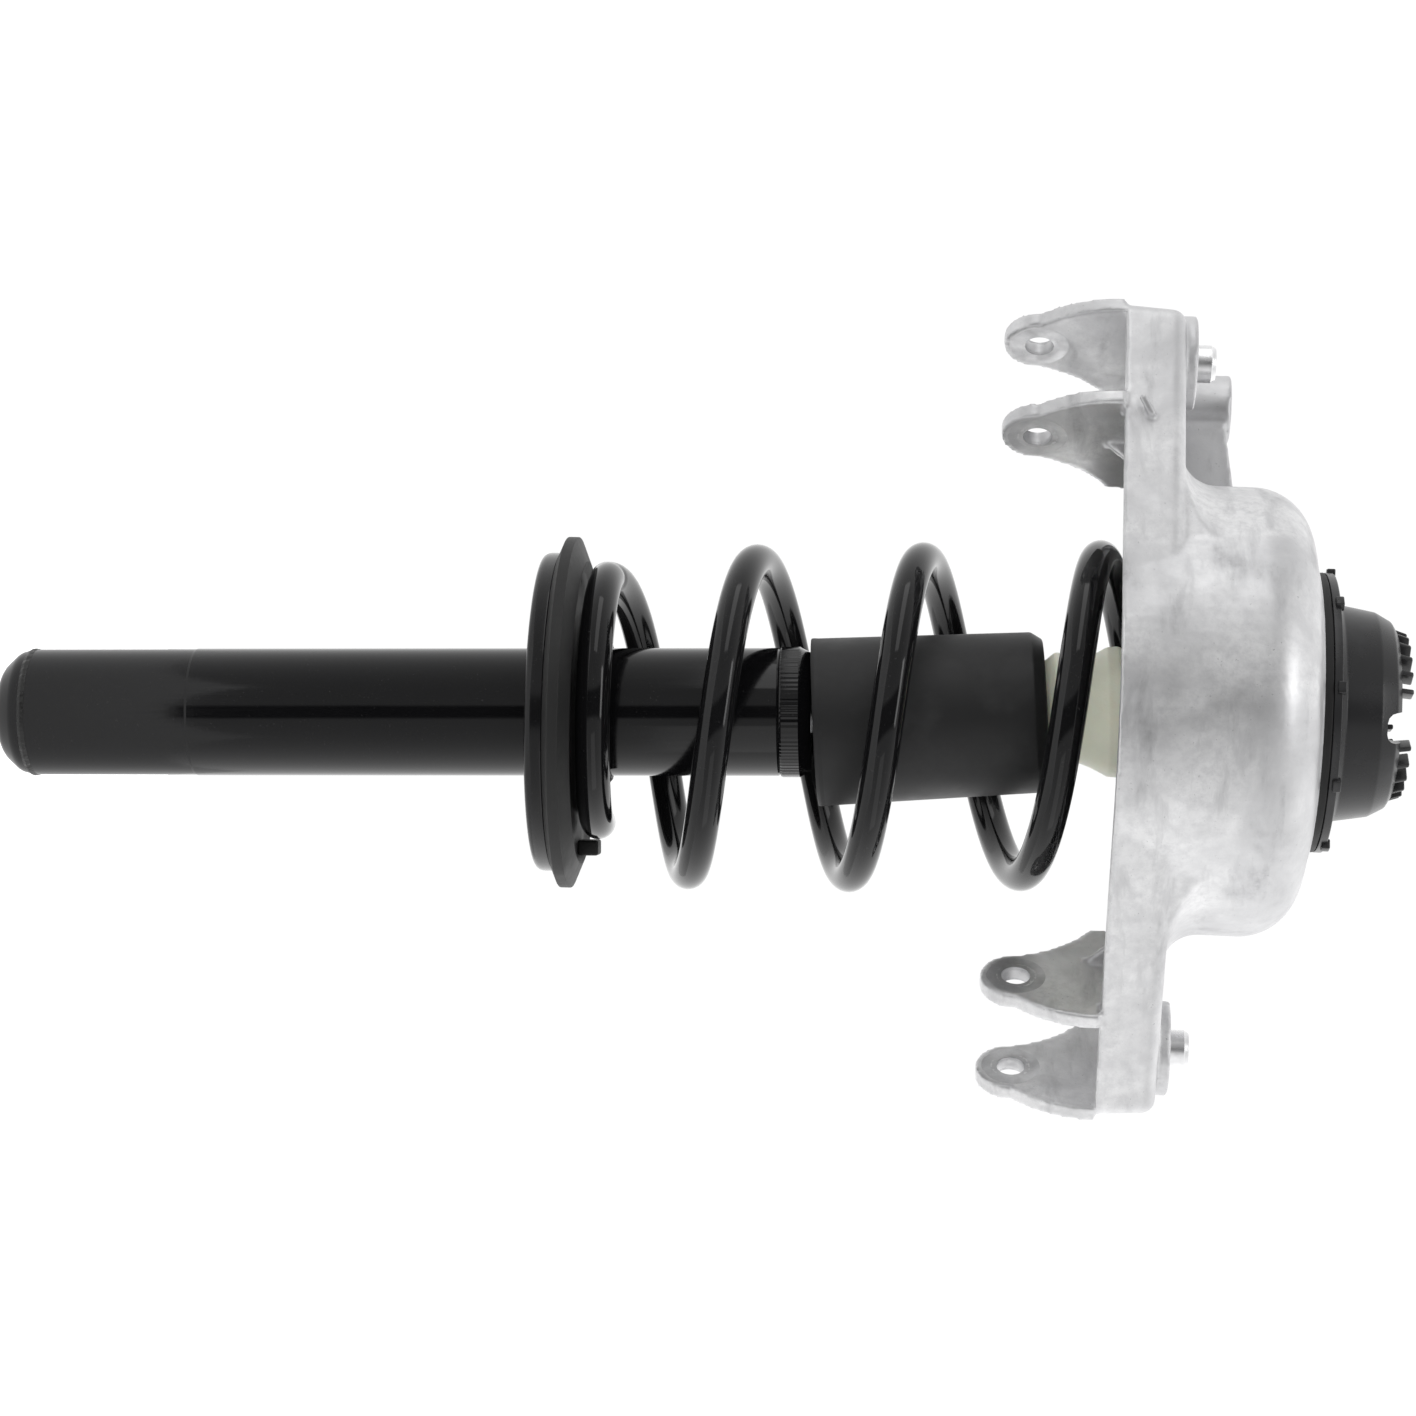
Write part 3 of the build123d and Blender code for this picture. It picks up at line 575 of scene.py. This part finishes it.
# ---- Top group -------------------------------------------------------------------------------------
def cover_and_stop(look):
    body = "bracket_body"
    cover = lathe("dust_boot", [
        (34.0, -156.0), (36.0, -156.0, 0.5), (36.1, -154.6, 0.3), (35.95, -153.0, 0.3),
        (34.4, -62.5, 2.5), (31.0, -57.5, 2.0), (23.4, -57.5, 0.5), (23.4, -59.5),
        (29.6, -59.5, 1.0), (32.4, -62.5, 1.5),
    ], 192)
    lean(cover, COVER_LEAN, -0.0575)
    place(cover, look["cover_plastic"], body, "black_plastic", "dust_cover")
    buffer = lathe("bump_buffer", [
        (11.5, -74.0, 1.0), (18.0, -74.0, 3.0), (22.5, -69.0, 3.0), (23.8, -65.3, 2.0),
        (21.4, -61.5, 1.5), (21.4, -58.5, 1.5), (25.6, -53.5, 3.0), (25.0, -50.0, 3.0),
        (21.3, -45.0, 5.0), (23.6, -39.0, 6.0), (27.6, -31.5, 4.0), (28.0, -27.0, 3.0), (26.0, -22.0, 3.0),
        (23.0, -15.0, 4.0), (25.5, -6.0, 5.0), (26.5, 5.6, 1.0), (11.5, 5.6, 0.5),
    ], 160)
    place(buffer, look["cream_urethane"], body, "cream_urethane", "bump_stop")


def cap(look):
    body = "bracket_body"
    seal = lathe("mount_seal", [
        (49.0, 52.0), (58.8, 52.0, 0.4), (59.5, 53.0, 0.6), (59.3, 55.4, 0.4), (59.5, 57.2, 0.6),
        (58.9, 57.7, 0.3), (49.0, 57.7),
    ], 192)
    seal.data.transform(Matrix.Translation((CAP_CENTRE_X * MM, 0, 0)))
    lean(seal, BRACKET_LEAN)
    place(seal, look["black_rubber"], body, "black_rubber", "cap_seal")
    shell = lathe("cap_shell", [
        (43.0, 57.8), (59.5, 57.8, 0.4), (59.5, 61.3, 0.8), (53.0, 61.9, 0.8), (48.4, 62.4, 2.0),
        (46.1, 64.5, 2.0), (43.5, 79.5, 4.0), (39.8, 86.2, 3.0), (36.2, 88.4, 1.2), (31.5, 88.2, 0.8),
        (29.6, 79.4, 1.5), (0.0, 78.5), (0.0, 76.0), (31.5, 76.0), (33.5, 79.0), (40.0, 78.0), (43.0, 61.5),
    ], 160)
    slot_angle = 82.0
    for k in range(3):
        cutter = box_mesh("cutter", (26.0, -6.4, 82.0), (52.0, 6.4, 97.0), 4.0)
        cutter.data.transform(Matrix.Rotation(math.radians(120.0 * k - slot_angle), 4, "Z"))
        cut(shell, cutter)
    parts = [shell]
    fins, slot_clearance = 27, 11.5
    for k in range(fins):
        angle = 360 / fins * k
        clear = min(abs((angle + slot_angle - 120.0 * n + 180) % 360 - 180) for n in range(3))
        if clear < slot_clearance:
            continue
        fin = box_mesh("fin", (29.2, -1.1, 84.0), (37.6, 1.1, 93.3), 0.7)
        taper(fin, 86.0, 93.3, 0.8)
        fin.data.transform(Matrix.Rotation(math.radians(angle), 4, "Z"))
        parts.append(fin)
    clips = 9
    for k in range(clips):
        clip = box_mesh("clip", (57.0, -2.6, 59.0), (61.2, 2.6, 62.6), 0.6)
        clip.data.transform(Matrix.Rotation(math.radians(20.0 + 360.0 / clips * k), 4, "Z"))
        parts.append(clip)
    whole = join(parts)
    whole.data.transform(Matrix.Translation((CAP_CENTRE_X * MM, 0, 0)))
    lean(whole, BRACKET_LEAN)
    place(whole, look["black_plastic"], body, "black_plastic", "top_cap")


def taper(piece, low, high, keep):
    """Pulls the outer side of an upright rib in towards its top."""
    for vert in piece.data.vertices:
        share = smoothstep((vert.co.z / MM - low) / (high - low))
        vert.co.x *= 1 - share * (1 - keep) * 0.35


def sleeves(look):
    body = "bracket_body"
    parts = []
    for x in MAIN_PADS_X:
        sleeve = lathe("locating_sleeve", [
            (THREAD_HOLE, -6.0), (8.0, -6.0), (8.0, 6.6, 0.2), (7.6, 7.0, 0.2), (6.7, 8.6, 0.3),
            (4.9, 8.6, 0.2), (THREAD_HOLE, 7.9),
        ], 96)
        sleeve.data.transform(Matrix.Translation((x * MM, 0, 0)))
        parts.append(sleeve)
    whole = join(parts)
    lean(whole, BRACKET_LEAN)
    place(whole, look["machined_aluminium"], body, "machined_aluminium", "locating_sleeves")


# ---- Bracket ---------------------------------------------------------------------------------------
def relax(piece, rounds):
    """Evens out a dense mesh without shrinking it: each pull in is followed by a slightly longer push out."""
    mesh = piece.data
    count = len(mesh.vertices)
    spots = np.empty(count * 3)
    mesh.vertices.foreach_get("co", spots)
    spots = spots.reshape(-1, 3)
    edges = np.empty(len(mesh.edges) * 2, int)
    mesh.edges.foreach_get("vertices", edges)
    one, two = edges.reshape(-1, 2).T
    links = np.bincount(one, minlength=count) + np.bincount(two, minlength=count)
    for k in range(rounds):
        pull = np.zeros_like(spots)
        for axis in range(3):
            pull[:, axis] += np.bincount(one, spots[two, axis], count)
            pull[:, axis] += np.bincount(two, spots[one, axis], count)
        step = 0.6 if k % 2 == 0 else -0.62
        spots += step * (pull / links[:, None] - spots)
    mesh.vertices.foreach_set("co", spots.ravel())
    mesh.update()


def ear_frames():
    """Where each link ear stands: its centre, its width direction, and its outward normal."""
    for pair_x, sign in ((FRONT_EARS_X, 1), (REAR_EARS_X, -1)):
        width = Vector((sign * math.sin(EAR_ANGLE), math.cos(EAR_ANGLE), 0))
        normal = Vector((sign * math.cos(EAR_ANGLE), -math.sin(EAR_ANGLE), 0))
        for side in (1, -1):
            centre = Vector((pair_x, EAR_Y, 0)) + normal * EAR_HALF_GAP * side
            yield centre, width, normal, side


def gusset(foot, normal, along, low, high, reach):
    """A triangular rib that stands on a face and runs out along its normal."""
    half = along * 1.6
    mesh = bmesh.new()
    sides = []
    for offset in (half, -half):
        base = foot + offset - normal * 2
        corners = ((0.0, low), (0.0, high), (reach + 2, high))
        sides.append([mesh.verts.new((base + normal * r + Vector((0, 0, z))) * MM) for r, z in corners])
    mesh.faces.new(sides[0])
    mesh.faces.new(list(reversed(sides[1])))
    for k in range(3):
        n = (k + 1) % 3
        mesh.faces.new((sides[0][k], sides[0][n], sides[1][n], sides[1][k]))
    return finish_mesh("gusset", mesh)


def bracket(look):
    """The casting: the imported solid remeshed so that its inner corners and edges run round."""
    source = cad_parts["bracket"]
    piece = bpy.data.objects.new("bracket_casting", source.data.copy())
    bpy.context.scene.collection.objects.link(piece)
    details = []
    for centre, width, normal, side in ear_frames():
        if side > 0:
            shift = 3.5 if centre.x < 0 else 12.5
            foot = centre + normal * EAR_HALF_SHEET + width * shift
            details.append(lean(gusset(foot, normal, width, -39.5, -24.0, 13.0), BRACKET_LEAN))
    mark = box_mesh("ejector_mark", (-1.6, -1.2, -5.0), (1.6, 1.2, 5.0), 0.6)
    spin = Matrix.Rotation(math.radians(60), 4, "Y")
    mark.data.transform(Matrix.Translation((-126.0 * MM, -46.0 * MM, -22.0 * MM)) @ spin)
    details.append(lean(mark, BRACKET_LEAN))
    piece = join([piece] + details)
    grain = piece.modifiers.new("grain", "REMESH")
    grain.mode = "VOXEL"
    grain.voxel_size = CAST_VOXEL
    bake(piece)
    relax(piece, CAST_RELAX_ROUNDS)
    for face in piece.data.polygons:
        face.use_smooth = True
    place(piece, look["cast_aluminium"], "bracket_body", "cast_aluminium", "bracket")


def facings(look):
    """The casting's machined places: pad faces and the link holes."""
    parts = []
    for x in MAIN_PADS_X:
        ring = lathe("pad_facing", [
            (8.3, -2.0), (19.3, -2.0), (19.3, -0.4, 0.2), (18.9, FACING_PROUD, 0.1), (8.3, FACING_PROUD, 0.2),
        ], 128)
        ring.data.transform(Matrix.Translation((x * MM, 0, 0)))
        parts.append(ring)
    x, y, top = SIDE_PAD
    pad = lathe("side_facing", [
        (4.3, top - 2.0), (14.4, top - 2.0), (14.4, top - 0.4, 0.2),
        (14.0, top + FACING_PROUD, 0.1), (4.3, top + FACING_PROUD, 0.4),
    ], 96)
    pad.data.transform(Matrix.Translation((x * MM, y * MM, 0)))
    parts.append(pad)
    half = EAR_HALF_SHEET + 0.04
    for centre, _, normal, _ in ear_frames():
        hole = lathe("hole_facing", [(6.0, -half, 0.3), (12.5, -half), (12.5, half), (6.0, half, 0.3)], 96)
        spot = centre + Vector((0, 0, EAR_HOLE_Z))
        turn = normal.to_track_quat("Z", "Y").to_matrix().to_4x4()
        hole.data.transform(Matrix.Translation(spot * MM) @ turn)
        parts.append(hole)
    whole = lean(join(parts), BRACKET_LEAN)
    place(whole, look["faced_aluminium"], "bracket_body", "machined_aluminium")


def dress_frame(look):
    """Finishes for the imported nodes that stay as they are."""
    finish = {
        "piston_rod": "hard_chrome",
        "piston_band": "bronze_band",
        "rod_seal": "black_rubber",
        "rebound_stop": "black_rubber",
        "mount_rubber": "black_rubber",
        "upper_isolator": "black_rubber",
        "mount_ring": "machined_aluminium",
        "mount_core": "machined_aluminium",
    }
    for name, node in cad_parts.items():
        material = look[finish.get(name, "plain_steel")]
        for slot in node.material_slots:
            slot.material = material


# ---- Studio ------------------------------------------------------------------------------------------
def studio():
    """White behind the strut, greyer towards the camera, with one narrow dark gap there."""
    world = bpy.data.worlds.new("studio")
    bpy.context.scene.world = world
    world.use_nodes = True
    nodes, links = world.node_tree.nodes, world.node_tree.links

    def ranged(value, low, high, bottom, top, kind="LINEAR"):
        made = nodes.new("ShaderNodeMapRange")
        made.interpolation_type = kind
        for key, number in (("From Min", low), ("From Max", high), ("To Min", bottom), ("To Max", top)):
            made.inputs[key].default_value = number
        links.new(value, made.inputs["Value"])
        return made.outputs[0]

    def worked(operation, *values):
        made = nodes.new("ShaderNodeMath")
        made.operation = operation
        for k, value in enumerate(values):
            links.new(value, made.inputs[k])
        return made.outputs[0]

    where = nodes.new("ShaderNodeTexCoord")
    split = nodes.new("ShaderNodeSeparateXYZ")
    links.new(where.outputs["Generated"], split.inputs[0])
    depth = ranged(split.outputs["Y"], -1.0, 0.6, 0.5, 1.2, "SMOOTHSTEP")
    gap = ranged(worked("ABSOLUTE", split.outputs["X"]), 0.15, 0.24, 0.06, 1.0, "SMOOTHSTEP")
    front = ranged(split.outputs["Y"], -0.6, -0.3, 0.0, 1.0)
    tilt = ranged(split.outputs["X"], -1.0, 1.0, 0.72, 1.2)
    level = worked("MULTIPLY", depth, worked("MAXIMUM", gap, front))
    ray = nodes.new("ShaderNodeLightPath")
    shown = nodes.new("ShaderNodeMix")
    shown.data_type = "FLOAT"
    links.new(ray.outputs["Is Camera Ray"], shown.inputs["Factor"])
    links.new(worked("MULTIPLY", level, tilt), shown.inputs[2])
    shown.inputs[3].default_value = 1.02
    back = nodes["Background"]
    links.new(shown.outputs[0], back.inputs["Strength"])
    back.inputs["Color"].default_value = (1, 1, 1, 1)


def floor():
    """A pale floor below the strut's lower end."""
    mesh = bmesh.new()
    bmesh.ops.create_grid(mesh, x_segments=1, y_segments=1, size=0.6)
    bmesh.ops.translate(mesh, vec=(0, 0, CAD_BOX[0][2] - 0.06), verts=mesh.verts)
    ground = finish_mesh("floor", mesh)
    # The paper glows for the camera alone, so it looks white and lights nothing.
    paper = Shader("floor_paper", (0.93, 0.93, 0.93), 0.9)
    paper.surface.inputs["Emission Color"].default_value = (1, 1, 1, 1)
    seen = paper.node("ShaderNodeLightPath").outputs["Is Camera Ray"]
    glow = paper.ramp(seen, 0.0, 1.0, 0.0, 1.0)
    paper.tree.links.new(glow, paper.surface.inputs["Emission Strength"])
    paper.bump(paper.noise(300.0), 1e-5)
    ground.data.materials.append(paper.material)


def lamp(name, spot, target, size, power):
    """A square-cornered softbox that points at target."""
    data = bpy.data.lights.new(name, "AREA")
    data.shape = "RECTANGLE"
    data.size, data.size_y = size
    data.energy = power
    light = bpy.data.objects.new(name, data)
    light.location = spot
    light.rotation_euler = (Vector(target) - Vector(spot)).to_track_quat("-Z", "Y").to_euler()
    bpy.context.scene.collection.objects.link(light)
    return light


def camera():
    """Side view, rolled so that the strut lies across the picture with its bracket to the right."""
    rise = math.radians(3.7)
    distance = 1.4835
    target = Vector((-0.0017, 0, -0.202))
    back = Vector((0, -math.cos(rise), math.sin(rise)))
    up = Vector((-1, 0, 0))
    right = up.cross(back)
    data = bpy.data.cameras.new("camera")
    data.sensor_width = 36.0
    data.lens = 36.0 * 3450 / 1416
    data.clip_end = 100.0
    view = bpy.data.objects.new("camera", data)
    bpy.context.scene.collection.objects.link(view)
    turn = Matrix((right, up, back)).transposed().to_4x4()
    view.matrix_world = Matrix.Translation(target + back * distance) @ turn
    bpy.context.scene.camera = view


def main():
    bpy.context.scene.view_settings.view_transform = "Standard"
    look = make_materials()
    dress_frame(look)
    damper(look)
    perch(look)
    isolator(look)
    spring(look)
    cover_and_stop(look)
    cap(look)
    sleeves(look)
    bracket(look)
    facings(look)
    studio()
    floor()
    lamps()
    camera()


def lamps():
    middle = (0, 0, -0.15)
    lamp("softbox_top", (-1.3, -0.5, 0.0), middle, (1.4, 0.5), 2.6)
    lamp("softbox_low", (1.1, -0.9, 0.0), middle, (1.4, 0.6), 1.2)
    lamp("softbox_side", (-0.15, -0.75, 1.15), (0.0, 0.0, 0.04), (0.9, 0.3), 2.8)
    fill = lamp("softbox_front", (-0.3, -1.4, -0.05), middle, (0.9, 0.9), 6.0)
    fill.visible_glossy = False


main()
